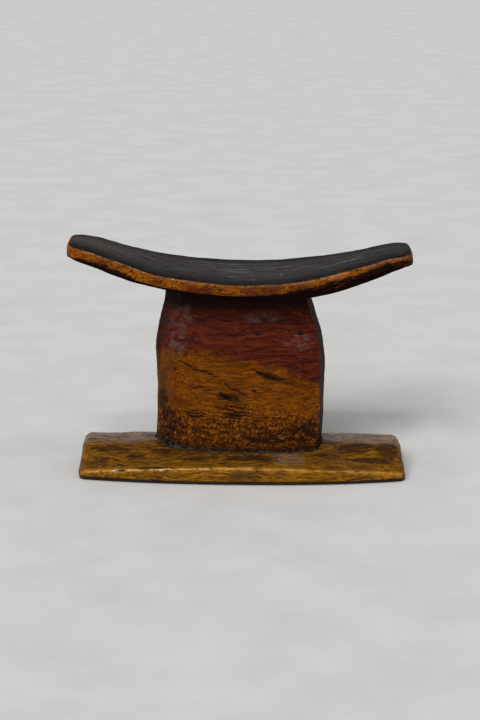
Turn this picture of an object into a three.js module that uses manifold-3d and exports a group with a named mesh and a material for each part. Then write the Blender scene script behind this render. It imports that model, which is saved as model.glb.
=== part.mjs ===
// A carved wooden headrest: a thin plate that curves up at both ends, on a broad column, on a domed base.
// Millimetres, +Z up. X runs along the plate, Y from front to back. The origin is on the floor, under the
// middle of the overall box.
//
// The three wooden members meet on curved faces. The column has a stub tenon at each end, one in a mortise
// in the base and one in a mortise in the plate, and a bead of hard wax fills the corner round its foot.

import * as THREE from "three";
import { mergeVertices } from "three/addons/utils/BufferGeometryUtils.js";
import Module from "manifold-3d";

const wasm = await Module();
wasm.setup();

// ---- driving dimensions ----

const CLEARANCE = 0.3; // left between members that meet
const OVERCUT = 1; // how far a cutting shape runs on past what it cuts

const PLATE = {
  length: 192.5,
  halfDepth: 38, // at the middle
  narrowing: 0.45, // share of the half depth lost at the tips
  narrowingPower: 1.9,
  arcRadius: 246, // of the hollow that the neck lies in
  lowX: 5.5, // the hollow's lowest point is a little to the right
  lowZ: 114,
  tipEasing: 19, // over this much of each end the hollow levels off
  tipDrop: 3.6, // and comes out this much lower than the arc
  crown: 1.2, // the top face is this much higher along its middle than at its edges
  band: 5.6, // height of the upright edge
  chamferHeight: 4, // below the band, inwards and down
  chamferWidth: 6,
  tipThinning: 2.6, // how much thinner the plate is at its tips
  cornerRadius: 7, // of the plan's four corners
};

const BASE = {
  leftX: -92.4,
  rightX: 94.2,
  endBow: 0.8, // the ends stand out this much at the middle
  endLean: 2, // and lean in by this much towards the top
  halfDepth: 40.5,
  narrowing: 0.27,
  narrowingPower: 2.2,
  taper: 0.0008, // per mm, deeper towards the right
  edgeHeight: 10.4, // of the upright front and back faces, at the middle
  edgeFall: 5, // how much lower that edge is at the ends
  ridgeHeight: 17.9,
  ridgeFall: 0.008, // per mm towards the right
  ridgeHalfWidth: 11.5, // of the level strip on top
  endRadius: 3, // rounds the top over at the ends
};

const COLUMN = {
  halfWidth: 49,
  halfDepth: 22,
  bottomZ: 6, // the blank runs into the base and the plate, and they are cut away from it
  topZ: 111.5,
};

const FOOT_TENON = { width: 56, depth: 18, fromZ: 8, toZ: 30 };
const NECK_TENON = { width: 50, depth: 18, fromZ: 90, toZ: 109 };

const BEAD = { width: 2.2, height: 1.5, topZ: 30 }; // cut from the base's own surface, below topZ

const SLICES = { plate: 44, base: 36, column: 22 }; // steps along each sweep
const COLUMN_PLAN_POINTS = 60;

// ---- curves that the members follow ----

// How far a rounded edge of this radius has dropped at a distance in from the end.
function roundOver(distance, radius) {
  const inside = Math.max(0, radius - distance);
  return radius - Math.sqrt(Math.max(0, radius * radius - inside * inside));
}

function plateEdgeZ(x) {
  const along = x - PLATE.lowX;
  const arc = PLATE.arcRadius - Math.sqrt(PLATE.arcRadius ** 2 - along * along);
  const intoTip = Math.max(0, Math.abs(x) - PLATE.length / 2 + PLATE.tipEasing) / PLATE.tipEasing;
  return PLATE.lowZ + arc - PLATE.tipDrop * intoTip ** 2;
}

function plateHalfDepth(x) {
  const share = Math.abs(x) / (PLATE.length / 2);
  const barrel = PLATE.halfDepth * (1 - PLATE.narrowing * share ** PLATE.narrowingPower);
  return barrel - roundOver(PLATE.length / 2 - Math.abs(x), PLATE.cornerRadius);
}

// The underside rises towards the top face over the last part of each end.
function plateThicknessShare(x) {
  const full = PLATE.band + PLATE.chamferHeight;
  return 1 - (PLATE.tipThinning / full) * (Math.abs(x) / (PLATE.length / 2)) ** 6;
}

function baseHalfDepth(x) {
  const share = Math.abs(x) / BASE.rightX;
  const barrel = BASE.halfDepth * (1 - BASE.narrowing * share ** BASE.narrowingPower);
  return barrel * (1 + BASE.taper * x);
}

function baseEdgeZ(x) {
  return BASE.edgeHeight - BASE.edgeFall * (x / BASE.rightX) ** 2;
}

function baseRidgeZ(x) {
  return BASE.ridgeHeight - BASE.ridgeFall * x;
}

// Half widths of the column at heights above the floor, on its left and right sides: upright to the
// shoulder, then drawn in to the neck.
const LEFT_SIDE = [
  [0, 49],
  [50, 48.3],
  [72, 49],
  [82, 47.7],
  [112, 40.6],
];
const RIGHT_SIDE = [
  [0, 46.2],
  [42, 48],
  [66, 48.9],
  [76, 47.2],
  [112, 36.6],
];
const FRONT_AND_BACK = [
  [0, 22.5],
  [50, 21.5],
  [80, 20.5],
  [112, 18],
];

function along(profile, z) {
  const i = Math.max(1, profile.findIndex(([height]) => height >= z));
  const [[z0, v0], [z1, v1]] = [profile[i - 1], profile[i]];
  return v0 + ((v1 - v0) * (z - z0)) / (z1 - z0);
}

// The column in plan: full in front and behind, with its front left and back right corners pared away.
const COLUMN_PLAN = [
  [-49, 0],
  [-38.5, -13],
  [-24, -18.6],
  [0, -21.8],
  [20, -22],
  [36, -20.2],
  [45, -16],
  [48.4, -8],
  [49, 0],
  [41, 13],
  [24, 19],
  [0, 22],
  [-22, 21.8],
  [-38, 19.5],
  [-46.5, 13],
];

// ---- solids ----

// A closed three.js geometry as a manifold-3d solid.
function toSolid(geometry) {
  const bare = geometry.clone();
  bare.deleteAttribute("normal");
  bare.deleteAttribute("uv");
  const merged = mergeVertices(bare, 1e-4);
  const mesh = new wasm.Mesh({
    numProp: 3,
    vertProperties: merged.attributes.position.array,
    triVerts: new Uint32Array(merged.index.array),
  });
  return new wasm.Manifold(mesh);
}

function toGeometry(solid) {
  const mesh = solid.getMesh();
  const geometry = new THREE.BufferGeometry();
  geometry.setAttribute("position", new THREE.BufferAttribute(mesh.vertProperties, 3));
  geometry.setIndex(new THREE.BufferAttribute(mesh.triVerts, 1));
  geometry.computeVertexNormals();
  return geometry;
}

// Extrudes a closed outline in steps, then moves each point to place(a, b, t), where a and b are its place
// in the outline and t runs from -1 to 1 along the extrusion.
function sweep(outline, steps, place) {
  const shape = new THREE.Shape(outline.map(([a, b]) => new THREE.Vector2(a, b)));
  const geometry = new THREE.ExtrudeGeometry(shape, { depth: 2, steps, bevelEnabled: false });
  const points = geometry.attributes.position;
  for (let i = 0; i < points.count; i++) {
    const moved = place(points.getX(i), points.getY(i), points.getZ(i) - 1);
    points.setXYZ(i, moved.x, moved.y, moved.z);
  }
  return toSolid(geometry);
}

// Steps that are long in the middle and short towards both ends.
const easeToEnds = (t) => Math.sin((t * Math.PI) / 2);

function plateBlank() {
  const { halfDepth: h, crown, band, chamferHeight, chamferWidth } = PLATE;
  const low = -(band + chamferHeight);
  const shoulder = crown * (1 - 0.5 ** 2); // of the crown's parabola, half way out
  const section = [
    [-h, -band],
    [-h + chamferWidth, low],
    [h - chamferWidth, low],
    [h, -band],
    [h, 0],
    [h / 2, shoulder],
    [0, crown],
    [-h / 2, shoulder],
    [-h, 0],
  ];
  return sweep(section, SLICES.plate, (across, up, t) => {
    const x = (PLATE.length / 2) * easeToEnds(t);
    const y = (across / h) * plateHalfDepth(x);
    return new THREE.Vector3(x, y, plateEdgeZ(x) + up * plateThicknessShare(x));
  });
}

function baseBlank() {
  const h = BASE.halfDepth;
  const ridge = BASE.ridgeHalfWidth;
  // Heights in the section stand for levels: 0 is the floor, 1 the upright edge's top and 2 the ridge.
  const section = [
    [-h, 0],
    [h, 0],
    [h, 1],
    [ridge, 2],
    [-ridge, 2],
    [-h, 1],
  ];
  const middle = (BASE.leftX + BASE.rightX) / 2;
  return sweep(section, SLICES.base, (across, level, t) => {
    const isRidge = Math.round(level) === 2;
    const inset = BASE.endBow * (across / h) ** 2 + (isRidge ? BASE.endLean : 0);
    const half = (BASE.rightX - BASE.leftX) / 2 - inset;
    const x = middle + half * easeToEnds(t);
    const y = isRidge ? across : (across / h) * baseHalfDepth(x);
    const fromEnd = half - Math.abs(x - middle);
    const heights = [0, baseEdgeZ(x), baseRidgeZ(x) - roundOver(fromEnd, BASE.endRadius)];
    return new THREE.Vector3(x, y, heights[Math.round(level)]);
  });
}

// The column as a blank, with its plan grown by an amount on every side.
function columnBlank(fromZ, toZ, grown = 0) {
  const closed = [...COLUMN_PLAN, COLUMN_PLAN[0]].map(([x, y]) => new THREE.Vector2(x, y));
  const points = new THREE.SplineCurve(closed).getPoints(COLUMN_PLAN_POINTS).slice(0, -1);
  const outline = points.map((p) => [p.x, p.y]);
  return sweep(outline, SLICES.column, (across, deep, t) => {
    const z = fromZ + ((toZ - fromZ) * (t + 1)) / 2;
    const side = across < 0 ? LEFT_SIDE : RIGHT_SIDE;
    const x = (across / COLUMN.halfWidth) * (along(side, z) + grown);
    const y = (deep / COLUMN.halfDepth) * (along(FRONT_AND_BACK, z) + grown);
    return new THREE.Vector3(x, y, z);
  });
}

// A tenon's block, or with a clearance the mortise that takes it.
function block({ width, depth, fromZ, toZ }, clearance = 0) {
  const height = toZ - fromZ + 2 * clearance;
  const geometry = new THREE.BoxGeometry(width + 2 * clearance, depth + 2 * clearance, height);
  geometry.translate(0, 0, (fromZ + toZ) / 2);
  return toSolid(geometry);
}

const raised = (solid, z) => solid.translate([0, 0, z]);

const baseSolid = baseBlank();
const plateSolid = plateBlank();

function makeColumn() {
  const body = columnBlank(COLUMN.bottomZ, COLUMN.topZ);
  const seated = body.subtract(raised(baseSolid, CLEARANCE)).subtract(raised(plateSolid, -CLEARANCE));
  return seated.add(block(FOOT_TENON)).add(block(NECK_TENON));
}

function makeBead() {
  const layer = raised(baseSolid, BEAD.height).subtract(raised(baseSolid, CLEARANCE));
  const outer = columnBlank(COLUMN.bottomZ, BEAD.topZ, BEAD.width);
  const inner = columnBlank(COLUMN.bottomZ - OVERCUT, BEAD.topZ + OVERCUT, CLEARANCE);
  return layer.intersect(outer).subtract(inner);
}

// ---- the assembly ----

function member(name, solid, color, roughness) {
  const material = new THREE.MeshStandardMaterial({ color, roughness, metalness: 0 });
  const mesh = new THREE.Mesh(toGeometry(solid), material);
  mesh.name = name;
  return mesh;
}

const headrest = new THREE.Group();
headrest.add(
  member("base", baseSolid.subtract(block(FOOT_TENON, CLEARANCE)), 0x8a5a14, 0.45),
  member("column", makeColumn(), 0x6b3612, 0.4),
  member("neck_plate", plateSolid.subtract(block(NECK_TENON, CLEARANCE)), 0x2e2a28, 0.5),
  member("foot_wax_bead", makeBead(), 0x3a382f, 0.35),
);

export default headrest;
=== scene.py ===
"""A carved wooden headrest: a blackened plate that curves up at both ends, a column and a domed base.

Every piece is a dense mesh lofted through rings of points. The wooden ones have rounded arrises, with
tool marks, drying cracks and nicks cut into the mesh. Lengths are in millimetres until a mesh is made.
X runs along the plate, Y from front to back and Z up. The colours come from nodes that read places on
the object, so they wrap round it.
"""

import math

import bpy
import numpy as np
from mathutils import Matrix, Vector


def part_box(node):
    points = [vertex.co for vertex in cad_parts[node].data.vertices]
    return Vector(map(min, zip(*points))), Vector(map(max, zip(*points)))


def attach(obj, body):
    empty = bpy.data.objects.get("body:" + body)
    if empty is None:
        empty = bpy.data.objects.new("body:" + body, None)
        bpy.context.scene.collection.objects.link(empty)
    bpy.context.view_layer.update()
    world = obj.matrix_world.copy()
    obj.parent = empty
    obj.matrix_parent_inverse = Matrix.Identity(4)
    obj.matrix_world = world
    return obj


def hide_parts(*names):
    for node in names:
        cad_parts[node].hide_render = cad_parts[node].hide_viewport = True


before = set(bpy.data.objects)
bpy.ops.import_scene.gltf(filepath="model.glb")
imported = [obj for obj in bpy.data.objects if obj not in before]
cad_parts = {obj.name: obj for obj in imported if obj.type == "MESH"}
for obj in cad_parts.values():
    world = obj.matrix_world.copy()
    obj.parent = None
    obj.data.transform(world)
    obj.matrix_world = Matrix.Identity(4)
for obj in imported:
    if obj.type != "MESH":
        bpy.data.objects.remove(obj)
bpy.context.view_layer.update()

MM = 0.001


def cad_box(node):
    """The lowest and highest corner of a CAD node, in millimetres."""
    return [np.array(corner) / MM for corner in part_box(node)]


# ---- sizes ----

plate_high = cad_box("neck_plate")[1]
base_low, base_high = cad_box("base")
column_low, column_high = cad_box("column")

GAP = 0.15  # between members that meet

PLATE_HALF_LENGTH = plate_high[0]
PLATE_HALF_DEPTH = 38
PLATE_NARROWING = 0.44
PLATE_ARC_RADIUS = 246
PLATE_LOW_X = 5.5
PLATE_LOW_Z = 114
PLATE_TIP_EASING = 19
PLATE_TIP_DROP = 3.6
PLATE_CROWN = 1.0
PLATE_CORNER = 8
PLATE_RING_SPACING = 0.72
BELOW_PLATE_Z = 90

BASE_MIDDLE_X = (base_low[0] + base_high[0]) / 2
BASE_HALF_LENGTH = (base_high[0] - base_low[0]) / 2
BASE_HALF_DEPTH = 39
BASE_EDGE_HEIGHT = 10.5
BASE_EDGE_FALL = 5.6
BASE_RIDGE_Z = 17.7
BASE_RIDGE_FALL = 0.008
BASE_END_LEAN = 2.2
BASE_BEVEL_HEIGHT = 2.6
BASE_BEVEL_DEPTH = 2.6
BASE_END_CORNER = 4.5
BASE_RING_SPACING = 0.75
ABOVE_BASE_Z = 30

FOOT_TENON = np.array([28, 9])  # half sizes
NECK_TENON = np.array([25, 9])
FOOT_TENON_Z = column_low[2]
NECK_TENON_Z = column_high[2]


# ---- arithmetic on arrays ----


def bump(x, middle, width):
    return np.exp(-(((x - middle) / width) ** 2))


def round_over(distance, radius):
    """How far a rounded edge has dropped at a distance in from the end."""
    inside = np.clip(radius - distance, 0, radius)
    return radius - np.sqrt(radius**2 - inside**2)


def unit(vectors):
    return vectors / np.maximum(np.linalg.norm(vectors, axis=-1, keepdims=True), 1e-9)


def eased(z, heights, values, spread=5):
    """Straight interpolation with its bends softened."""
    shifts = np.linspace(-spread, spread, 5)
    return sum(np.interp(z + shift, heights, values) for shift in shifts) / len(shifts)


def lattice_noise(points, cell, seed=0):
    """Smooth noise from -1 to 1 at an (n, 3) array of points, with a cell size for each axis."""
    scaled = points / np.asarray(cell, float) + seed * 17.31
    corner = np.floor(scaled).astype(np.int64)
    share = scaled - corner
    share = share * share * (3 - 2 * share)
    total = np.zeros(len(points))
    for offset in np.ndindex(2, 2, 2):
        at = corner + offset
        mixed = (at[:, 0] * 73856093) ^ (at[:, 1] * 19349663) ^ (at[:, 2] * 83492791)
        mixed = ((mixed ^ (mixed >> 13)) * 1274126177) & 0x7FFFFFFF
        value = ((mixed ^ (mixed >> 16)) & 0xFFFF) / 32767.5 - 1
        weight = np.prod(np.where(offset, share, 1 - share), axis=1)
        total += weight * value
    return total


def tool_marks(u, v, stroke, seed):
    """Scallops left by a blade, 0 at the middle of each stroke and rising to a soft ridge between them."""
    u, v = u / stroke[0], v / stroke[1]
    corner_u, corner_v = np.floor(u), np.floor(v)
    total = np.zeros(len(u))
    for du, dv in np.ndindex(3, 3):
        cell_u, cell_v = corner_u + du - 1, corner_v + dv - 1
        jitter = np.sin(cell_u * 127.1 + cell_v * 311.7 + seed) * 43758.5453
        jitter_u = jitter - np.floor(jitter)
        jitter_v = jitter * 7.31 - np.floor(jitter * 7.31)
        distance = (u - cell_u - jitter_u) ** 2 + (v - cell_v - jitter_v) ** 2
        total += np.exp(-14 * distance)
    return np.clip(-np.log(total + 1e-9) / 14, 0, 0.6)


def distance_to_path(points, path):
    """Distance from 2-D points to a path of straight pieces, and how far along it the nearest place is."""
    nearest = np.full(len(points), np.inf)
    along = np.zeros(len(points))
    corners = np.array(path, float)
    pieces = len(corners) - 1
    for i in range(pieces):
        way = corners[i + 1] - corners[i]
        share = np.clip((points - corners[i]) @ way / (way @ way), 0, 1)
        distance = np.linalg.norm(points - corners[i] - share[:, None] * way, axis=1)
        along = np.where(distance < nearest, (i + share) / pieces, along)
        nearest = np.minimum(distance, nearest)
    return nearest, along


def cut_depth(points, cracks):
    """How deep 2-D points lie in cracks given as (path, half width, depth)."""
    flat = np.column_stack([points, np.zeros(len(points))])
    wander = np.column_stack([lattice_noise(flat, (3, 3, 1), 1), lattice_noise(flat, (3, 3, 1), 2)])
    shaken = points + 0.7 * wander
    depth = np.zeros(len(points))
    for path, half_width, full_depth in cracks:
        distance, along = distance_to_path(shaken, path)
        taper = np.sqrt(np.sin(np.pi * np.clip(along, 0.03, 0.97)))
        depth = np.maximum(depth, full_depth * taper * np.clip(1 - distance / (half_width * taper), 0, 1))
    return depth


def soft_patches(points, patches):
    """How far 2-D points lie within soft ellipses given as (middle, half sizes), from 0 outside to 1."""
    most = np.zeros(len(points))
    for middle, half_sizes in patches:
        reach = np.linalg.norm((points - middle) / half_sizes, axis=1)
        most = np.maximum(most, np.clip(1.6 * (1.25 - reach), 0, 1))
    return most


# ---- the surfaces that members share ----


def plate_top(x):
    arc = PLATE_ARC_RADIUS - np.sqrt(PLATE_ARC_RADIUS**2 - (x - PLATE_LOW_X) ** 2)
    into_tip = np.clip(np.abs(x) - PLATE_HALF_LENGTH + PLATE_TIP_EASING, 0, None) / PLATE_TIP_EASING
    return PLATE_LOW_Z + arc - PLATE_TIP_DROP * into_tip**2


def plate_thickness(x):
    """Full thickness, fuller to the right of the column and pared thin at the tips."""
    share = np.abs(x) / PLATE_HALF_LENGTH
    return 10.4 + 1.4 * bump(x, 48, 26) - 1.2 * bump(x, -42, 16) - 2.6 * share**8


def base_ridge(x):
    return BASE_RIDGE_Z - BASE_RIDGE_FALL * x


def base_edge(x):
    return BASE_EDGE_HEIGHT - BASE_EDGE_FALL * (x / BASE_HALF_LENGTH) ** 2


def base_half_depth(x):
    """A barrel outline, a little deeper towards the right."""
    share = np.abs(x) / BASE_HALF_LENGTH
    return BASE_HALF_DEPTH * (1 - 0.25 * share**2.4) * (1 + 0.0008 * x)


def base_ridge_front(x):
    """The level strip's front edge, which runs back towards the column."""
    return 11.5 - 5 * bump(x, 46, 26) - 5 * bump(x, -38, 22)


RIDGE_BACK = 11.5


def base_top(x, y):
    """Height of the base's sloping top."""
    edge, ridge = base_edge(x), base_ridge(x)
    inner = np.where(y < 0, base_ridge_front(x), RIDGE_BACK)
    outer = base_half_depth(x)
    return ridge - (ridge - edge) * np.clip((np.abs(y) - inner) / (outer - inner), 0, 1)


# ---- lofting ----


def rounded_ring(corners, reaches, side_steps, corner_steps=7):
    """Rings of (ring, point, 2) round polygons given as (corner, ring, 2), with their corners rounded off.

    The rounding starts at a reach along each side. The corners run anticlockwise as seen from the last
    ring, so that faces point out.
    """
    count = len(corners)
    points = []
    for i, corner in enumerate(corners):
        before, after = corners[i - 1], corners[(i + 1) % count]
        start = corner + unit(before - corner) * reaches[i]
        end = corner + unit(after - corner) * reaches[i]
        for s in np.linspace(0, 1, corner_steps):
            points.append((1 - s) ** 2 * start + 2 * s * (1 - s) * corner + s**2 * end)
        stop = after + unit(corner - after) * reaches[(i + 1) % count]
        for s in np.linspace(0, 1, side_steps[i] + 2)[1:-1]:
            points.append(end + (stop - end) * s)
    return np.stack(points, axis=1)


def stations(half_length, corner, spacing, end_steps=22):
    """Places from end to end, evenly spaced and then closer and closer round each rounded end."""
    straight = half_length - corner
    middle = np.linspace(-straight, straight, round(2 * straight / spacing) + 1)
    turn = straight + corner * np.sin(np.linspace(0, math.pi / 2, end_steps + 1)[1:])
    return np.concatenate([-turn[::-1], middle, turn])


def quads(ring_count, point_count, closed=False):
    """Faces between neighbouring rings of points, and from the last ring to the first if they close."""
    ring = np.arange(ring_count if closed else ring_count - 1)[:, None] * point_count
    point = np.arange(point_count)[None, :]
    following = (point + 1) % point_count
    above = (ring + point_count) % (ring_count * point_count)
    corners = [ring + point, ring + following, above + following, above + point]
    return np.stack(np.broadcast_arrays(*corners), axis=-1).reshape(-1, 4)


def mesh_object(name, points, faces):
    mesh = bpy.data.meshes.new(name)
    mesh.from_pydata((points * MM).tolist(), [], faces)
    mesh.update()
    mesh.shade_smooth()
    obj = bpy.data.objects.new(name, mesh)
    bpy.context.scene.collection.objects.link(obj)
    return obj


def capped(name, rings):
    """A closed piece through rings of (ring, point, xyz), each end drawn in to a point."""
    first, last = rings[0].mean(axis=0), rings[-1].mean(axis=0)
    shares = np.array([0.1, 0.3, 0.55, 0.8])[:, None, None]
    start = first + (rings[0] - first) * shares
    end = last + (rings[-1] - last) * shares[::-1]
    rings = np.concatenate([start, rings, end])
    count, size = rings.shape[:2]
    faces = quads(count, size).tolist()
    bottom, top = count * size, count * size + 1
    final = (count - 1) * size
    for i in range(size):
        following = (i + 1) % size
        faces.append((bottom, following, i))
        faces.append((top, final + i, final + following))
    points = np.concatenate([rings.reshape(-1, 3), [first, last]])
    return mesh_object(name, points, faces)


def carve(obj, field):
    """Moves each point inwards by field(points, normals), in millimetres, and keeps the field's layers."""
    mesh = obj.data
    count = len(mesh.vertices)
    places, normals = np.empty(count * 3), np.empty(count * 3)
    mesh.vertices.foreach_get("co", places)
    mesh.vertex_normals.foreach_get("vector", normals)
    places, normals = places.reshape(-1, 3) / MM, normals.reshape(-1, 3)
    depth, layers = field(places, normals)
    places = places - normals * depth[:, None]
    places[:, 2] = np.maximum(places[:, 2], 0)
    mesh.vertices.foreach_set("co", (places * MM).ravel())
    for name, values in layers.items():
        layer = mesh.attributes.new(name, "FLOAT", "POINT")
        layer.data.foreach_set("value", values.astype(np.float32))
    mesh.update()


def mortise(obj, half_size, low, high):
    """Cuts a blind square hole for a tenon."""
    corners = np.array([[x, y, z] for x in (-1, 1) for y in (-1, 1) for z in (low, high)], float)
    corners[:, :2] *= half_size + GAP
    sides = [(0, 1, 3, 2), (4, 6, 7, 5), (0, 4, 5, 1), (2, 3, 7, 6), (0, 2, 6, 4), (1, 5, 7, 3)]
    cutter = mesh_object("cutter", corners, sides)
    cut = obj.modifiers.new("mortise", "BOOLEAN")
    cut.object = cutter
    cut.operation = "DIFFERENCE"
    cut.solver = "MANIFOLD"
    evaluated = obj.evaluated_get(bpy.context.evaluated_depsgraph_get())
    mesh = bpy.data.meshes.new_from_object(evaluated)
    obj.modifiers.clear()
    obj.data = mesh
    bpy.data.objects.remove(cutter)


# ---- the neck plate ----

SCRATCHES = [  # on the plate's top, in x and y
    ([(-9, -3), (2, -5), (9, -4)], 0.8, 0.3),
    ([(-8.5, -15.5), (-4, -17), (0, -18.5)], 0.9, 0.4),
    ([(8, 2), (19, 5), (31, 9)], 0.9, 0.22),
    ([(-9, 1), (0, 2), (6, 3)], 0.9, 0.22),
    ([(5, -24), (9, -23)], 0.7, 0.3),
    ([(22, -14), (24, -11)], 0.8, 0.35),
    ([(-58, 6), (-44, 4)], 0.9, 0.2),
    ([(40, -8), (58, -5), (70, -6)], 0.9, 0.2),
    ([(-30, 18), (-12, 21), (5, 20)], 0.9, 0.2),
]
EDGE_DARK_SHARES = (  # x, and the share of the thickness below which the edge is darker
    [-97, -90, -80, -72, -64, -58, -52, -30, 0, 22, 33, 44, 60, 79, 90, 97],
    [0.9, 0.56, 0.46, 0.42, 0.45, 0.58, 0.75, 0.74, 0.64, 0.46, 0.33, 0.28, 0.23, 0.19, 0.22, 0.34],
)
ARRIS_POLISH = ([-90, -60, -20, 20, 50, 90], [0.25, 0.3, 0.5, 0.6, 1, 1])


def plate_band(x):
    """Height of the upright edge."""
    return 5.9 + 0.9 * bump(x, -50, 26) - 1.3 * bump(x, 58, 18)


def plate_depths(x):
    """How far the front and back edges stand out."""
    share = np.abs(x) / PLATE_HALF_LENGTH
    barrel = PLATE_HALF_DEPTH * (1 - PLATE_NARROWING * share**1.9)
    corner = round_over(PLATE_HALF_LENGTH - np.abs(x), PLATE_CORNER)
    front = barrel - 1.2 * bump(x, 62, 30) - 0.8 * bump(x, -68, 26)
    back = barrel - 1.2 * bump(x, 74, 20) + 1.6 * bump(x, -20, 30)
    return front - corner, back - corner


def plate_edge_heights(x):
    """The front and back arrises wander a little above and below the hollow."""
    front = 0.7 * bump(x, 62, 18) + 0.6 * bump(x, -68, 10) - 0.6 * bump(x, -46, 10)
    back = 0.4 * bump(x, -80, 12) - 0.3 * bump(x, 74, 14)
    return front, back


def plate_field(p, n):
    x, y, z = p.T
    front, back = plate_depths(x)
    outer = np.where(y < 0, front, back)
    up = n[:, 2]
    top = np.clip((up - 0.5) / 0.4, 0, 1)
    seat = (1 - bump(x, 0, 42) * np.clip(-up, 0, 1)) * np.clip((PLATE_HALF_LENGTH - np.abs(x)) / 4, 0.2, 1)
    marks = tool_marks(x, np.abs(y) + z, (15, 9), 3) * (1 - top)
    broad = 0.35 * lattice_noise(p, (34, 16, 22), 3) + 0.16 * lattice_noise(p, (13, 9, 7), 4)
    fine = 0.12 * lattice_noise(p, (9, 1.6, 2.2), 5) + 0.08 * lattice_noise(p, (3, 1.5, 1.5), 6)
    cuts = cut_depth(p[:, :2], SCRATCHES) * top
    arris = np.hypot(np.abs(y) - outer, z - plate_top(x))
    wear = np.exp(-((arris / 1.6) ** 2)) * np.interp(x, *ARRIS_POLISH)
    nicks = wear * 0.9 * np.clip(lattice_noise(p, (5, 4, 4), 7) - 0.3, 0, 1)
    depth = seat * (0.55 * marks + broad + fine) + cuts + nicks
    # The lower part of the edge is darker, and painted shade darkens a band of the top along each arris.
    down = (plate_top(x) - z) / plate_thickness(x)
    limit = np.interp(x, *EDGE_DARK_SHARES)
    darker_below = np.clip((down - limit) / 0.16 + 0.5, 0, 1) * (1 - top)
    inwards = outer - np.abs(y)
    painted_shade_by_arris = np.exp(-((inwards / 15) ** 2)) * top
    bare_tip = np.clip(1 - (PLATE_HALF_LENGTH - np.abs(x)) / 5, 0, 1) * np.where(x < 0, 1, 0.35)
    scratches = np.clip(cuts * 3, 0, 1)
    return depth, {"marks": scratches, "wear": wear, "stain_and_shade": darker_below + painted_shade_by_arris, "bare_tip": bare_tip}


def make_plate():
    x = stations(PLATE_HALF_LENGTH, PLATE_CORNER, PLATE_RING_SPACING)
    from_tip = PLATE_HALF_LENGTH - np.abs(x)
    front, back = plate_depths(x)
    top = plate_top(x) - round_over(from_tip, 2.2)
    under = plate_top(x) - plate_thickness(x) + round_over(from_tip, 1.6)
    band = np.maximum(top - plate_band(x), under + 1)
    inset = 7.5 - 1.5 * bump(x, 50, 40)
    front_rise, back_rise = plate_edge_heights(x)
    corners = np.array(
        [
            [back, top + back_rise],
            [-front, top + front_rise],
            [-front, band],
            [-front + inset, under],
            [back - inset, under],
            [back, band],
        ]
    ).transpose(0, 2, 1)
    arris = (1.5 + 2.6 * np.exp(-from_tip / 9))[:, None]
    rings = rounded_ring(corners, [arris, arris, 1.2, 2.5, 2.5, 1.2], [96, 6, 9, 70, 7, 4])
    across, height = rings[..., 0], rings[..., 1]
    along = np.broadcast_to(x[:, None], across.shape)
    half = (front + back)[:, None] / 2
    share = np.clip(1 - (across / half) ** 2, 0, 1)
    lean = (front_rise - back_rise)[:, None] * (0.5 - across / (2 * half)) + back_rise[:, None]
    is_top = np.clip(1 - (top[:, None] + lean - height), 0, 1)
    height = height + PLATE_CROWN * share * is_top
    plate = capped("neck_plate_carved", np.stack([along, across, height], axis=-1))
    carve(plate, plate_field)
    mortise(plate, NECK_TENON, BELOW_PLATE_Z, NECK_TENON_Z + GAP)
    return plate


# ---- the base ----

BASE_CRACKS = [  # on the base's top, in x and y
    ([(-80, -20), (-72, -23), (-66, -27)], 0.7, 0.5),
    ([(-86, -5), (-70, -8), (-58, -6)], 0.5, 0.3),
    ([(-62, -16), (-50, -14), (-40, -18)], 0.5, 0.3),
    ([(54, -20), (66, -22), (74, -21)], 0.5, 0.3),
    ([(28, -31), (36, -32)], 0.6, 0.4),
    ([(-60, -31.5), (-50, -33.6), (-37, -35.2)], 1.1, 0.7),
    ([(-70, -27), (-64, -29.5)], 0.9, 0.5),
    ([(-88, -12), (-78, -17), (-70, -15)], 0.6, 0.4),
    ([(-50, -24), (-38, -20), (-34, -22)], 0.6, 0.35),
    ([(-56, -18), (-46, -13), (-42, -15)], 0.5, 0.3),
    ([(48, -33.4), (56, -33.6)], 0.8, 0.5),
    ([(-18, -31), (-6, -32), (2, -31)], 0.6, 0.35),
    ([(60, 14), (78, 16), (93, 15)], 0.6, 0.6),
    ([(-90, 20), (-76, 22), (-64, 21)], 0.5, 0.5),
]
BASE_CHIPS = [  # in x and distance from the front arris
    ([(-71, 0), (-67, 0), (-64, 0)], 1.6, 1.0),
    ([(63, 0), (66, 0)], 1.0, 0.6),
]
BASE_STAINS = [  # on the base's top, in x and y
    ((64, -14), (13, 6)),
    ((84, -16), (8, 8)),
    ((74, -25), (15, 3)),
    ((48, -22), (10, 3)),
    ((-74, -16), (15, 3)),
    ((-82, -24), (9, 4)),
    ((-58, -22), (6, 3)),
    ((-88, -6), (8, 3)),
    ((-44, -18), (8, 3)),
    ((-22, -27), (12, 2.5)),
    ((6, -28), (18, 4)),
    ((51, -4), (7, 8)),
    ((-52, 6), (6, 8)),
    ((60, 22), (18, 6)),
    ((-68, 24), (16, 5)),
    ((10, 30), (26, 4)),
]
# Patches of painted grey sheen on the base's top, in x and y.
BASE_PAINTED_SHEENS = [((27, -28), (9, 8)), ((-74, -4), (14, 6)), ((40, 26), (14, 5))]


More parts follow.
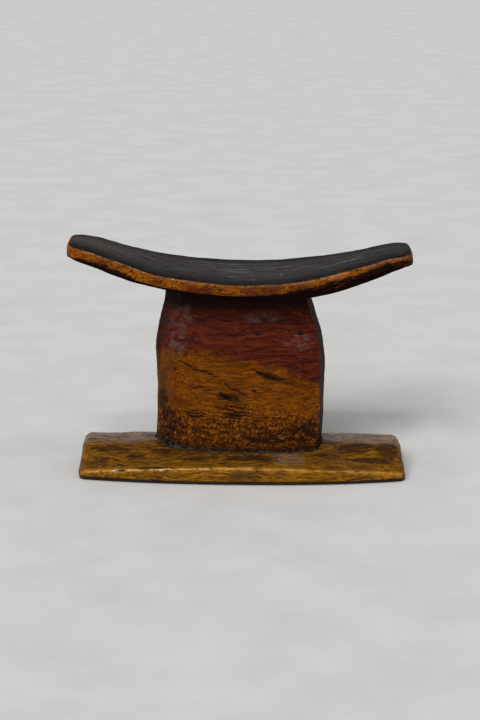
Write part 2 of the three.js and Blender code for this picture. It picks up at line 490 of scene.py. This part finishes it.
def base_field(p, n):
    x, y, z = p.T
    up = n[:, 2]
    top = np.clip((up - 0.6) / 0.3, 0, 1)
    foot = np.clip((np.hypot(x / 52, y / 26) - 1) / 0.25, 0, 1)
    free = np.where(up > 0.3, foot, 1) * np.where(up < -0.5, 0, 1)
    marks = tool_marks(x, y + z, (24, 11), 8)
    broad = 0.45 * lattice_noise(p, (30, 14, 12), 9) + 0.2 * lattice_noise(p, (12, 8, 7), 10)
    fine = 0.1 * lattice_noise(p, (8, 1.8, 2), 11) + 0.07 * lattice_noise(p, (2.5, 1.5, 1.5), 12)
    cuts = cut_depth(p[:, :2], BASE_CRACKS) * top
    arris = np.hypot(np.abs(y) - base_half_depth(x), z - base_edge(x))
    wear = np.exp(-((arris / 1.5) ** 2))
    nicks = wear * 0.9 * np.clip(lattice_noise(p, (4, 3, 3), 13) - 0.3, 0, 1)
    chips = cut_depth(np.column_stack([x, arris]), BASE_CHIPS) * (y < 0)
    depth = free * (0.8 * marks + broad + fine) + cuts + nicks + chips
    # The top gets painted shade round the column's foot, stains in patches and a painted grey sheen on the
    # level strip.
    beside_foot = np.clip((1.25 - np.hypot(x / 50, y / 23.5)) / 0.2, 0, 1)
    stain_and_shade = np.maximum(soft_patches(p[:, :2], BASE_STAINS), 0.6 * beside_foot) * top
    inner = np.where(y < 0, base_ridge_front(x), RIDGE_BACK)
    level = np.clip((inner - np.abs(y)) / 4 + 0.4, 0, 1)
    painted_sheen_and_polish = np.maximum(level, 0.6 * soft_patches(p[:, :2], BASE_PAINTED_SHEENS)) * top
    # The bevel at the bottom is darkened: painted contact shadow under the base.
    painted_contact_shadow = np.clip(2.4 * (2.8 - z), 0, 1)
    dark = np.clip(cuts * 3 + 2 * chips + painted_contact_shadow, 0, 1)
    return depth, {"marks": dark, "wear": wear, "stain_and_shade": stain_and_shade, "painted_sheen_and_polish": painted_sheen_and_polish}


def make_base():
    x = stations(BASE_HALF_LENGTH, BASE_END_CORNER, BASE_RING_SPACING) + BASE_MIDDLE_X
    from_end = BASE_HALF_LENGTH - np.abs(x - BASE_MIDDLE_X)
    corner = round_over(from_end, BASE_END_CORNER)
    half = base_half_depth(x) - corner
    edge = base_edge(x) - round_over(from_end, 2)
    ridge = base_ridge(x) - corner
    floor = round_over(from_end, 1.8)
    front_ridge = base_ridge_front(x) - 0.5 * corner
    back_ridge = RIDGE_BACK - 0.5 * corner
    corners = np.array(
        [
            [half, edge],
            [back_ridge, ridge],
            [-front_ridge, ridge],
            [-half, edge],
            [-half, floor + BASE_BEVEL_HEIGHT],
            [-half + BASE_BEVEL_DEPTH, floor],
            [half - BASE_BEVEL_DEPTH, floor],
            [half, floor + BASE_BEVEL_HEIGHT],
        ]
    ).transpose(0, 2, 1)
    rings = rounded_ring(corners, [1.3, 6, 6, 1.3, 0.7, 1, 1, 0.7], [34, 14, 52, 14, 10, 3, 40, 3])
    across, height = rings[..., 0], rings[..., 1]
    near_end = np.clip(1 - from_end / 26, 0, 1)[:, None]
    lean = BASE_END_LEAN * (height / BASE_RIDGE_Z) * near_end
    along = x[:, None] - np.sign(x - BASE_MIDDLE_X)[:, None] * lean
    base = capped("base_carved", np.stack([along, across, height], axis=-1))
    carve(base, base_field)
    mortise(base, FOOT_TENON, FOOT_TENON_Z - GAP, ABOVE_BASE_Z)
    return base


# ---- the column ----

COLUMN_ENDS_Z = (16, 104)  # roughly, because the ends follow the base and the plate
COLUMN_HALF_WIDTH = 49  # of the plan, which the profiles draw in or out
COLUMN_HALF_DEPTH = 22.4
RELIEF_ENDS_Z = (17, 104)  # the relief fades out towards these heights
RELIEF_FADE = 8

# The column in plan. Its front left corner is pared away, and the back is less regular than the front.
COLUMN_PLAN = [
    (-49, 1),
    (-38, -13.6),
    (-20, -20),
    (22, -22.4),
    (45.4, -17),
    (49, 0),
    (41, 14),
    (20, 21.6),
    (-22, 21.8),
    (-42, 15.5),
]
COLUMN_REACHES = [2.5, 3.5, 9, 11, 1.8, 3, 6, 9, 10, 4]
COLUMN_SIDE_STEPS = [34, 34, 76, 38, 30, 14, 18, 44, 14, 12]
# Heights, and the half width or half depth at each.
LEFT_PROFILE = ([15, 35, 50, 73, 82, 104], [48.8, 48, 47.9, 48.9, 47.4, 42.3])
RIGHT_PROFILE = ([15, 28, 43, 62, 78, 88, 104], [47, 47.9, 48.6, 49.6, 47.4, 44.4, 39.4])
DEPTH_PROFILE = ([15, 45, 74, 104], [22.4, 21.6, 21.2, 18])

FRONT_CUTS = [  # in x and z
    ([(-37, 67.4), (-31, 65), (-25, 61.4), (-19, 60.6), (-13, 58.3), (-11, 56.6)], 0.8, 0.7),
    ([(-12, 57), (-9, 55.2), (-7, 53), (-3, 50.8), (0, 49.2), (5, 46.4), (12, 44.2)], 0.55, 0.5),
    ([(4.4, 64), (12, 59.6), (25, 55.4), (40, 51.5)], 0.8, 0.55),
    ([(8.5, 61.5), (12, 60), (19, 57.3)], 1.5, 1.1),
    ([(-27.6, 50.2), (-24, 51.3), (-20.8, 53)], 0.75, 0.8),
    ([(-20, 50.4), (-14, 49.6)], 0.6, 0.5),
    ([(-12, 49.5), (-8, 46), (-4, 43.6)], 1.1, 0.8),
    ([(8.5, 83.4), (12.5, 82.2)], 0.9, 0.8),
    ([(12, 79.4), (17, 78.8)], 0.6, 0.4),
    ([(31.5, 82.6), (36, 82.4)], 1.0, 0.8),
    ([(6.5, 50.6), (9.5, 49.4)], 1.0, 0.8),
    ([(-22.4, 66.9), (-20.4, 66.8)], 0.9, 0.45),
    ([(34, 60.8), (37.5, 60.4)], 0.8, 0.5),
    ([(-38, 61), (-35, 60.5)], 0.8, 0.5),
    ([(33, 45.5), (42, 43.4)], 0.5, 0.3),
]
RIPPLES = [((-3, 38), (9, 6)), ((-26, 36), (7, 3))]
RIPPLE_PITCH = 2.0
TORN_GRAIN = [
    ([(-13 + 2.6 * i, 51 - 0.8 * i), (-4.5 + 2.2 * i, 43.6 - 0.3 * i)], 0.55, 0.6) for i in range(4)
]
FRONT_STAINS = [  # in x and z
    ((-46, 92), (4, 16)),
    ((-47, 70), (2, 14)),
    ((-40, 27), (6, 14)),
    ((-44, 42), (3, 10)),
    ((-9, 46.5), (5, 2)),
    ((38, 26), (6, 7)),
    ((19, 58), (7, 2)),
    ((-4, 36), (6, 2)),
    ((16, 22), (14, 3)),
]
BACK_STAINS = [((30, 30), (10, 12)), ((-20, 34), (14, 6)), ((4, 66), (14, 5))]
# Patches of painted sheen on the column's front and back, in x and z.
FRONT_PAINTED_SHEENS = [((-33, 92), (6, 10)), ((-35, 76), (5, 7)), ((12, 92), (9, 3)), ((33, 78), (8, 5))]
BACK_PAINTED_SHEENS = [((24, 88), (12, 9)), ((-22, 82), (14, 10)), ((30, 60), (8, 8))]
BACK_CUTS = [
    ([(-34, 58), (-24, 56.5), (-14, 57)], 0.8, 0.7),
    ([(18, 60), (6, 55), (-8, 52)], 0.7, 0.5),
    ([(30, 84), (24, 81)], 0.9, 0.6),
    ([(10, 36), (22, 33)], 0.6, 0.5),
    ([(-6, 78), (4, 76)], 0.7, 0.5),
]


def column_outline(plan, z):
    """The plan drawn in or out to the column's width and depth at each point's height."""
    width = np.where(plan[:, 0] < 0, eased(z, *LEFT_PROFILE), eased(z, *RIGHT_PROFILE))
    side = width / COLUMN_HALF_WIDTH
    depth = eased(z, *DEPTH_PROFILE) / COLUMN_HALF_DEPTH
    # The arris beside the pared corner wanders on its way up.
    front_left = bump(plan[:, 0], -37.5, 7) * (plan[:, 1] < 0)
    swing = 2 * np.sin(2 * math.pi * (z - 28) / 34) + 0.7 * np.sin(2 * math.pi * (z - 15) / 21)
    return plan[:, 0] * side + swing * front_left, plan[:, 1] * depth - 0.35 * swing * front_left


def column_field(p, n):
    x, y, z = p.T
    side = np.clip((0.55 - np.abs(n[:, 2])) / 0.2, 0, 1)
    front = np.clip((-n[:, 1] - 0.35) / 0.3, 0, 1)
    back = np.clip((n[:, 1] - 0.35) / 0.3, 0, 1)
    low, high = RELIEF_ENDS_Z
    middle = np.clip((z - low) / RELIEF_FADE, 0, 1) * np.clip((high - z) / RELIEF_FADE, 0, 1)
    marks = tool_marks(x + y, z, (13, 26), 14)
    broad = 0.5 * lattice_noise(p, (22, 22, 26), 15) + 0.2 * lattice_noise(p, (10, 10, 8), 16)
    fine = 0.09 * lattice_noise(p, (7, 2, 1.8), 17) + 0.07 * lattice_noise(p, (2.5, 2, 1.5), 18)
    flat = p[:, [0, 2]]
    cuts = cut_depth(flat, FRONT_CUTS + TORN_GRAIN) * front + cut_depth(flat, BACK_CUTS) * back
    arris = np.minimum(np.hypot(x - 45, y + 16.6), np.hypot(x + 48, y))
    wear = np.exp(-((arris / 2.4) ** 2)) * middle
    depth = side * middle * (0.6 * marks + broad + fine) + cuts * side
    stain_and_shade = soft_patches(flat, FRONT_STAINS) * front + soft_patches(flat, BACK_STAINS) * back
    painted_sheen_and_polish = soft_patches(flat, FRONT_PAINTED_SHEENS) * front + soft_patches(flat, BACK_PAINTED_SHEENS) * back
    ripples = soft_patches(flat, RIPPLES) * front
    dark = np.clip(cuts * 3, 0, 1)
    return depth, {"marks": dark, "wear": wear, "stain_and_shade": stain_and_shade, "painted_sheen_and_polish": painted_sheen_and_polish, "ripples": ripples}


def on_tenon(outline, half_size):
    """The place on a tenon's wall in the same direction as each point of an outline."""
    reach = np.max(np.abs(outline) / half_size, axis=-1, keepdims=True)
    return outline / reach


def shoulder(outline, half_size, surface, steps=6):
    """Rings from an outline in to a tenon's wall, lying on a surface."""
    wall = on_tenon(outline, half_size)
    rings = []
    for share in np.linspace(0, 1, steps + 1)[1:]:
        flat = outline + (wall - outline) * share
        rings.append(np.column_stack([flat, surface(flat[:, 0], flat[:, 1])]))
    return rings


def foot_surface(x, y):
    return base_top(x, y) + GAP


def neck_surface(x, y):
    return plate_top(x) - plate_thickness(x) - GAP


def column_body(plan, steps=185):
    """Rings up the column, from the base's top to the plate's underside."""
    share = (np.arange(steps + 1) / steps)[:, None]
    bottom, top = COLUMN_ENDS_Z
    z = bottom + (top - bottom) * share * np.ones(len(plan))
    for _ in range(5):
        x, y = column_outline(plan, z)
        low, high = foot_surface(x, y), neck_surface(x, y)
        z = low + (high - low) * share
    return np.stack([x, y, z], axis=-1)


def with_height(outline, z):
    return np.column_stack([outline, np.full(len(outline), z)])


def make_column():
    corners = np.array(COLUMN_PLAN, float)[:, None, :]
    plan = rounded_ring(corners, COLUMN_REACHES, COLUMN_SIDE_STEPS)[0]
    body = column_body(plan)
    foot, neck = body[0, :, :2], body[-1, :, :2]
    below = shoulder(foot, FOOT_TENON, foot_surface)
    below.append(with_height(on_tenon(foot, FOOT_TENON), FOOT_TENON_Z))
    above = shoulder(neck, NECK_TENON, neck_surface)
    above.append(with_height(on_tenon(neck, NECK_TENON), NECK_TENON_Z))
    column = capped("column_carved", np.concatenate([below[::-1], body, above]))
    carve(column, column_field)
    return column, body[0]


# ---- the wax bead round the foot ----


def make_bead(foot):
    """A lumpy fillet between the column's foot and the base, widest at the front left."""
    outline = foot[:, :2]
    way = unit(np.roll(outline, -1, axis=0) - np.roll(outline, 1, axis=0))
    outward = np.column_stack([way[:, 1], -way[:, 0]])
    outward *= np.sign(np.sum(outward * outline, axis=1))[:, None]
    lump = lattice_noise(foot, (5, 5, 5), 19)
    ledge = bump(foot[:, 0], -39, 8) * (foot[:, 1] < 2)
    width = 0.9 + 0.2 * lump + 1.3 * ledge
    height = 0.7 + 0.15 * lump + 1.2 * ledge
    angles = np.linspace(0, math.pi / 2, 9)
    section = [(np.cos(a) ** 1.3, np.sin(a) ** 1.3) for a in angles] + [(0, 0.5), (0, 0), (0.5, 0)]
    rings = []
    for out, up in section:
        flat = outline + outward * (0.05 + width * out)[:, None]
        z = base_top(flat[:, 0], flat[:, 1]) + 0.02 + height * up
        rings.append(np.column_stack([flat, z]))
    rings = np.array(rings)
    faces = quads(*rings.shape[:2], closed=True).tolist()
    return mesh_object("foot_wax_bead_laid", rings.reshape(-1, 3), faces)


# ---- materials ----


def srgb(red, green, blue):
    """A colour given as it shows on screen, from 0 to 255, as the linear values that shaders take."""
    shown = [c / 255 for c in (red, green, blue)]
    linear = [c / 12.92 if c <= 0.04045 else ((c + 0.055) / 1.055) ** 2.4 for c in shown]
    return (*linear, 1)


class Shader:
    """A material's node tree. Each call adds a node and returns its socket."""

    def __init__(self, name):
        self.material = bpy.data.materials.new(name)
        self.material.use_nodes = True
        self.tree = self.material.node_tree
        self.surface = self.tree.nodes["Principled BSDF"]
        place = self.node("ShaderNodeTexCoord").outputs["Object"]
        self.mm = self.stretch(place, 1 / MM, 1 / MM, 1 / MM)
        self.x, _, self.z = self.split(self.mm)

    def feed(self, socket, value):
        """Links another socket to this one, or sets its own value."""
        if isinstance(value, bpy.types.NodeSocket):
            self.tree.links.new(value, socket)
        else:
            socket.default_value = value

    def node(self, kind, inputs=(), **settings):
        made = self.tree.nodes.new(kind)
        for key, value in settings.items():
            setattr(made, key, value)
        for key, value in dict(inputs).items():
            self.feed(made.inputs[key], value)
        return made

    def split(self, vector):
        return self.node("ShaderNodeSeparateXYZ", {0: vector}).outputs

    def stretch(self, vector, x, y, z):
        inputs = {0: vector, 1: (x, y, z)}
        return self.node("ShaderNodeVectorMath", inputs, operation="MULTIPLY").outputs[0]

    def shift(self, vector, offset):
        return self.node("ShaderNodeVectorMath", {0: vector, 1: offset}, operation="ADD").outputs[0]

    def math(self, operation, a, b=0.0, c=0.0):
        return self.node("ShaderNodeMath", {0: a, 1: b, 2: c}, operation=operation).outputs[0]

    def add(self, a, b):
        return self.math("ADD", a, b)

    def times(self, a, b):
        return self.math("MULTIPLY", a, b)

    def noise(self, vector, scale=1.0, detail=3.0, roughness=0.55, distortion=0.0):
        inputs = {"Vector": vector, "Scale": scale, "Detail": detail, "Roughness": roughness}
        return self.node("ShaderNodeTexNoise", {**inputs, "Distortion": distortion}).outputs["Fac"]

    def warp(self, vector, scale, amount):
        """The vector moved about by slow noise."""
        moved = self.node("ShaderNodeTexNoise", {"Vector": vector, "Scale": scale, "Detail": 2.0})
        centred = self.shift(moved.outputs["Color"], (-0.5, -0.5, -0.5))
        return self.shift(vector, self.stretch(centred, amount, amount, amount))

    def step(self, value, low, high, start=0.0, end=1.0):
        """A smooth step from start to end as the value goes from low to high."""
        inputs = {"Value": value, "From Min": low, "From Max": high, "To Min": start, "To Max": end}
        return self.node("ShaderNodeMapRange", inputs, interpolation_type="SMOOTHSTEP").outputs[0]

    def mix(self, share, a, b, blend="MIX"):
        made = self.node("ShaderNodeMix", {0: share, 6: a, 7: b}, data_type="RGBA", blend_type=blend)
        return made.outputs[2]

    def over(self, colour, share, laid, strength=1.0):
        """A colour with another laid over part of it."""
        return self.mix(self.times(share, strength), colour, laid)

    def broken(self, share, noise):
        """A layer with its edges broken up."""
        return self.step(self.add(share, self.times(self.math("SUBTRACT", noise, 0.5), 3.0)), 0.35, 0.95)

    def attribute(self, name):
        return self.node("ShaderNodeAttribute", attribute_name=name).outputs["Fac"]

    def bump(self, height, distance, strength=1.0, normal=None):
        inputs = {"Height": height, "Distance": distance * MM, "Strength": strength}
        if normal is not None:
            inputs["Normal"] = normal
        return self.node("ShaderNodeBump", inputs).outputs[0]

    def set(self, **inputs):
        for name, value in inputs.items():
            self.feed(self.surface.inputs[name.replace("_", " ")], value)


class Grain:
    """The wood's figure, running along X through all three members."""

    def __init__(self, s):
        warped = s.warp(s.mm, 0.03, 9)
        fine = s.warp(warped, 0.25, 1.2)
        fibres = s.noise(s.stretch(fine, 0.07, 1.3, 1.3), detail=4, roughness=0.7)
        self.relief = fibres
        self.fibres = s.step(fibres, 0.34, 0.66)
        self.threads = s.noise(s.stretch(fine, 0.16, 4.2, 4.2), detail=2)
        streaks = s.noise(s.stretch(fine, 0.035, 0.55, 0.55), detail=4, roughness=0.65)
        self.streaks = s.step(streaks, 0.46, 0.62)
        rings = s.noise(s.stretch(warped, 0.012, 0.2, 0.26), 1.0, detail=4, roughness=0.6, distortion=0.9)
        self.rings = s.step(rings, 0.46, 0.62)
        growth = s.noise(s.stretch(s.warp(fine, 0.09, 4), 0.014, 0.07, 0.07), 1.0, detail=1.5)
        self.lines = s.step(s.math("SINE", s.times(growth, 110)), 0.2, 0.95)
        self.hairs = s.step(s.noise(s.stretch(fine, 0.13, 1.7, 1.7), detail=3), 0.6, 0.68)
        self.blotches = s.noise(s.stretch(s.mm, 0.05, 0.09, 0.09), detail=4)
        self.mottle = s.noise(s.stretch(fine, 0.22, 0.5, 0.5), detail=4, roughness=0.7)
        self.cloud = s.noise(s.stretch(s.mm, 0.2, 0.3, 0.3), detail=5, roughness=0.75)
        pores = s.noise(s.stretch(fine, 0.22, 1.5, 1.5), detail=1)
        self.pores = s.step(pores, 0.6, 0.72)
        specks = s.noise(s.stretch(s.mm, 0.6, 0.85, 0.85), detail=3, roughness=0.7)
        self.specks = s.step(specks, 0.51, 0.62)


def finish_wood(s, grain, colour, roughness, shine=0.05, polish=0.0):
    """Fibres, threads and pores show in the relief. Polish lies over it where the wood is rubbed."""
    normal = s.bump(grain.relief, 0.3, 0.5)
    normal = s.bump(grain.threads, 0.08, 0.5, normal)
    normal = s.bump(s.math("SUBTRACT", 1.0, grain.pores), 0.15, 0.4, normal)
    s.set(Base_Color=colour, Roughness=roughness, Normal=normal)
    s.set(Specular_IOR_Level=shine, Coat_Weight=polish, Coat_Roughness=0.16, Coat_IOR=1.5)
    return s.material


def base_material():
    s = Shader("waxed_sapwood")
    grain = Grain(s)
    marks, wear = s.attribute("marks"), s.attribute("wear")
    stain_and_shade, painted_sheen_and_polish = s.attribute("stain_and_shade"), s.attribute("painted_sheen_and_polish")
    up = s.split(s.node("ShaderNodeNewGeometry").outputs["Normal"])[2]
    colour = s.mix(grain.fibres, srgb(82, 46, 4), srgb(158, 108, 14))
    colour = s.over(colour, grain.streaks, srgb(70, 38, 8), 0.55)
    colour = s.over(colour, grain.lines, srgb(64, 34, 8), 0.4)
    # Faces that point up are darkened: painted shade.
    colour = s.over(colour, s.step(up, 0.5, 0.9), srgb(62, 34, 16), 0.3)
    colour = s.over(colour, s.step(grain.blotches, 0.5, 0.66), srgb(52, 30, 18), 0.5)
    colour = s.over(colour, s.broken(stain_and_shade, grain.mottle), srgb(34, 19, 15), 0.75)
    # Painted grey reflection on the level strip and in patches, with polish laid over the same places.
    broken_sheen_and_polish = s.times(painted_sheen_and_polish, s.step(grain.cloud, 0.35, 0.6))
    colour = s.over(colour, broken_sheen_and_polish, srgb(136, 120, 108), 0.5)
    colour = s.over(colour, grain.pores, srgb(40, 20, 6), 0.6)
    colour = s.over(colour, grain.hairs, srgb(34, 16, 6), 0.65)
    colour = s.over(colour, s.times(wear, s.step(grain.cloud, 0.4, 0.5)), srgb(188, 130, 38), 0.6)
    # Dark marks: cracks, chips and the painted contact shadow at the bottom.
    colour = s.over(colour, marks, srgb(16, 8, 5), 0.9)
    roughness = s.step(grain.mottle, 0.3, 0.7, 0.24, 0.42)
    rubbed = s.times(wear, s.step(grain.cloud, 0.44, 0.56, 0.0, 0.8))
    polish = s.add(s.times(broken_sheen_and_polish, 0.45), rubbed)
    return finish_wood(s, grain, colour, roughness, shine=0.06, polish=polish)


def column_material():
    s = Shader("two_tone_wood")
    grain = Grain(s)
    marks, wear = s.attribute("marks"), s.attribute("wear")
    stain_and_shade, painted_sheen_and_polish = s.attribute("stain_and_shade"), s.attribute("painted_sheen_and_polish")
    yellow = s.mix(grain.fibres, srgb(76, 36, 2), srgb(126, 70, 5))
    yellow = s.over(yellow, grain.streaks, srgb(62, 30, 5), 0.55)
    yellow = s.over(yellow, grain.lines, srgb(84, 38, 5), 0.35)
    yellow = s.over(yellow, s.step(grain.blotches, 0.48, 0.64), srgb(66, 30, 6), 0.5)
    red = s.mix(grain.fibres, srgb(44, 12, 7), srgb(86, 32, 18))
    red = s.over(red, grain.streaks, srgb(112, 48, 14), 0.35)
    red = s.over(red, grain.rings, srgb(30, 10, 11), 0.55)
    # The sapwood's edge crosses the front on a slant, lower towards the right.
    slant = s.add(s.times(s.x, 0.2), s.times(s.times(s.x, s.x), 0.0035))
    ragged = s.add(s.z, s.add(slant, s.times(s.math("SUBTRACT", grain.blotches, 0.5), 10)))
    ragged = s.add(ragged, s.times(s.math("SUBTRACT", grain.mottle, 0.5), 16))
    colour = s.mix(s.step(ragged, 66.5, 71), yellow, red)
    # Painted grey-mauve sheen in patches, with polish laid over the same places.
    broken_sheen_and_polish = s.times(painted_sheen_and_polish, s.step(grain.cloud, 0.42, 0.62))
    colour = s.over(colour, broken_sheen_and_polish, srgb(106, 82, 80), 0.36)
    # Old polish has crackled towards the foot, into dark cells with bright veins between them.
    cells = s.node(
        "ShaderNodeTexVoronoi",
        {"Vector": s.stretch(s.warp(s.mm, 0.5, 4), 0.42, 0.5, 0.62), "Scale": 1.0},
        feature="DISTANCE_TO_EDGE",
    ).outputs["Distance"]
    low = s.step(s.add(s.z, s.times(grain.blotches, 26)), 36, 66, 1.0, 0.0)
    filled = s.add(cells, s.add(s.times(low, 0.42), s.times(grain.mottle, 1.1)))
    crackle = s.times(s.step(filled, 0.94, 1.12), s.step(low, 0.1, 0.5))
    colour = s.over(colour, crackle, srgb(26, 10, 6), 0.8)
    veins = s.times(s.step(s.add(cells, grain.mottle), 0.42, 0.6, 1.0, 0.0), s.step(low, 0.1, 0.6))
    colour = s.over(colour, veins, srgb(150, 84, 8), 0.55)
    # Fine ripples stand across the torn grain.
    rise = s.add(s.z, s.add(s.times(s.x, 0.1), s.times(grain.blotches, 9)))
    ripples = s.step(s.math("SINE", s.times(rise, 2 * math.pi / RIPPLE_PITCH)), -0.2, 0.5)
    colour = s.over(colour, s.times(ripples, s.attribute("ripples")), srgb(18, 8, 5), 0.95)
    colour = s.over(colour, s.broken(stain_and_shade, grain.mottle), srgb(26, 11, 7), 0.8)
    foot = s.step(s.add(s.z, s.times(grain.mottle, 12)), 20, 28, 1.0, 0.0)
    colour = s.over(colour, foot, srgb(16, 7, 5), 0.7)
    # Painted shadow of the plate: the column darkens towards black near its top.
    colour = s.over(colour, s.step(s.add(s.z, s.times(grain.blotches, 8)), 92, 106), srgb(10, 5, 4), 0.85)
    colour = s.over(colour, grain.pores, srgb(26, 10, 5), 0.5)
    colour = s.over(colour, grain.hairs, srgb(20, 8, 5), 0.5)
    # Faces that point sideways are darkened as painted shade, and made rougher.
    sideways = s.math("ABSOLUTE", s.split(s.node("ShaderNodeNewGeometry").outputs["Normal"])[0])
    colour = s.over(colour, s.step(sideways, 0.8, 0.95), srgb(20, 10, 8), 0.6)
    colour = s.over(colour, marks, srgb(10, 5, 4), 0.95)
    roughness = s.step(grain.mottle, 0.3, 0.7, 0.26, 0.44)
    roughness = s.add(roughness, s.step(sideways, 0.8, 0.95, 0.0, 0.25))
    polish = s.add(s.times(broken_sheen_and_polish, 0.4), s.times(wear, 0.12))
    return finish_wood(s, grain, colour, roughness, shine=0.035, polish=polish)


def plate_material():
    s = Shader("blackened_wood")
    grain = Grain(s)
    marks, wear = s.attribute("marks"), s.attribute("wear")
    stain_and_shade, bare_tip = s.attribute("stain_and_shade"), s.attribute("bare_tip")
    up = s.split(s.node("ShaderNodeNewGeometry").outputs["Normal"])[2]
    edge = s.mix(grain.fibres, srgb(84, 38, 4), srgb(150, 88, 10))
    edge = s.over(edge, s.step(grain.blotches, 0.42, 0.58), srgb(70, 28, 15), 0.8)
    edge = s.over(edge, grain.specks, srgb(22, 10, 10), 0.85)
    edge = s.over(edge, grain.hairs, srgb(30, 12, 8), 0.5)
    edge = s.over(edge, s.broken(stain_and_shade, grain.mottle), srgb(12, 7, 6), 0.94)
    rubbed = s.times(wear, s.step(grain.cloud, 0.42, 0.55))
    edge = s.over(edge, rubbed, srgb(176, 112, 56), 0.4)
    # The blackened top's grey tones and pale streaks are partly painted sheen.
    black = s.mix(grain.fibres, srgb(22, 20, 19), srgb(62, 60, 59))
    black = s.over(black, grain.streaks, srgb(98, 93, 91), 0.4)
    black = s.over(black, s.step(grain.blotches, 0.48, 0.66), srgb(56, 42, 37), 0.5)
    black = s.over(black, s.step(s.x, -84, -50, 1.0, 0.0), srgb(92, 82, 78), 0.35)
    # The band of the top along each arris is darkened as painted shade.
    black = s.over(black, stain_and_shade, srgb(6, 5, 5), 0.9)
    black = s.over(black, s.times(marks, s.step(grain.cloud, 0.32, 0.5)), srgb(152, 162, 172), 0.8)
    ragged = s.add(up, s.times(s.math("SUBTRACT", grain.mottle, 0.5), 0.3))
    ragged = s.math("SUBTRACT", ragged, s.times(bare_tip, 0.45))
    colour = s.mix(s.step(ragged, 0.68, 0.8), edge, black)
    roughness = s.step(up, 0.5, 0.9, 0.28, 0.5)
    return finish_wood(s, grain, colour, roughness, shine=0.02, polish=s.times(rubbed, 0.7))


def underside_material():
    """The plate's underside, matt and near black as painted shade on the faces that point down."""
    s = Shader("painted_shade_underside")
    grain = Grain(s)
    colour = s.mix(grain.fibres, srgb(14, 9, 8), srgb(34, 20, 14))
    return finish_wood(s, grain, colour, 0.8, shine=0.0)


def wax_material():
    s = Shader("old_wax")
    lumps = s.noise(s.mm, 0.35, detail=4)
    colour = s.mix(s.step(lumps, 0.42, 0.66), srgb(12, 11, 9), srgb(50, 50, 42))
    s.set(Base_Color=colour, Roughness=s.step(lumps, 0.3, 0.7, 0.35, 0.6), Normal=s.bump(lumps, 0.3))
    s.set(Specular_IOR_Level=0.06)
    return s.material


# ---- the stage ----

CAMERA_DISTANCE = 1150
CAMERA_ELEVATION = 13.5
CAMERA_AIM_Z = 63.2
CAMERA_LENS = 101


def make_floor():
    size = 9000
    corners = np.array([[-size, -size, 0], [size, -size, 0], [size, size, 0], [-size, size, 0]], float)
    floor = mesh_object("floor", corners, [(0, 1, 2, 3)])
    s = Shader("pale_floor")
    cloudy = s.noise(s.mm, 0.02, detail=6, roughness=0.6)
    colour = s.mix(s.step(cloudy, 0.3, 0.7), srgb(205, 204, 202), srgb(214, 213, 212))
    s.set(Base_Color=colour, Roughness=0.8)
    floor.data.materials.append(s.material)


def sun_light(name, azimuth, elevation, spread, strength):
    """Soft even light from an azimuth, 0 at the front and 90 at the right, all angles in degrees."""
    turn, rise = math.radians(azimuth), math.radians(elevation)
    toward = Vector((math.sin(turn) * math.cos(rise), -math.cos(turn) * math.cos(rise), math.sin(rise)))
    lamp = bpy.data.lights.new(name, "SUN")
    lamp.angle = math.radians(spread)
    lamp.energy = strength
    light = bpy.data.objects.new(name, lamp)
    light.rotation_euler = toward.to_track_quat("Z", "Y").to_euler()
    bpy.context.scene.collection.objects.link(light)


def make_lights():
    sun_light("front_softbox", -22, 38, 28, 2.2)
    sun_light("overhead_softbox", 30, 75, 50, 0.6)
    sun_light("glint_lamp", -8, 52, 5, 0.4)
    world = bpy.data.worlds.new("studio")
    world.use_nodes = True
    nodes, links = world.node_tree.nodes, world.node_tree.links
    # Brightest at the horizon, as in a room with pale walls.
    direction = nodes.new("ShaderNodeTexCoord")
    split = nodes.new("ShaderNodeSeparateXYZ")
    fall = nodes.new("ShaderNodeMapRange")
    for name, value in (("From Max", 0.7), ("To Min", 0.55), ("To Max", 0.18)):
        fall.inputs[name].default_value = value
    background = nodes["Background"]
    background.inputs["Color"].default_value = (0.98, 0.99, 1, 1)
    links.new(direction.outputs["Generated"], split.inputs[0])
    links.new(split.outputs["Z"], fall.inputs["Value"])
    links.new(fall.outputs["Result"], background.inputs["Strength"])
    bpy.context.scene.world = world


def make_camera():
    lens = bpy.data.cameras.new("camera")
    lens.lens = CAMERA_LENS
    lens.sensor_width = 36
    camera = bpy.data.objects.new("camera", lens)
    rise = math.radians(CAMERA_ELEVATION)
    aim = Vector((0, 0, CAMERA_AIM_Z))
    away = Vector((0, -math.cos(rise), math.sin(rise)))
    camera.location = (aim + away * CAMERA_DISTANCE) * MM
    camera.rotation_euler = (-away).to_track_quat("-Z", "Y").to_euler()
    bpy.context.scene.collection.objects.link(camera)
    bpy.context.scene.camera = camera


# ---- the assembly ----


def place(piece, node, slot, material):
    piece.data.materials.clear()
    piece.data.materials.append(material)
    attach(piece, "root")
    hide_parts(node)


def coat_underside(piece, material, steepest=-0.6):
    """Gives the faces that point down a material of their own."""
    piece.data.materials.append(material)
    for face in piece.data.polygons:
        face.material_index = 1 if face.normal.z < steepest else 0


bpy.context.scene.view_settings.view_transform = "Standard"
make_camera()
make_floor()
make_lights()
column, foot = make_column()
place(column, "column", "column_wood", column_material())
place(make_base(), "base", "base_wood", base_material())
plate = make_plate()
place(plate, "neck_plate", "blackened_wood", plate_material())
# The faces that point down get the near-black painted shade.
coat_underside(plate, underside_material())
place(make_bead(foot), "foot_wax_bead", "dark_wax", wax_material())
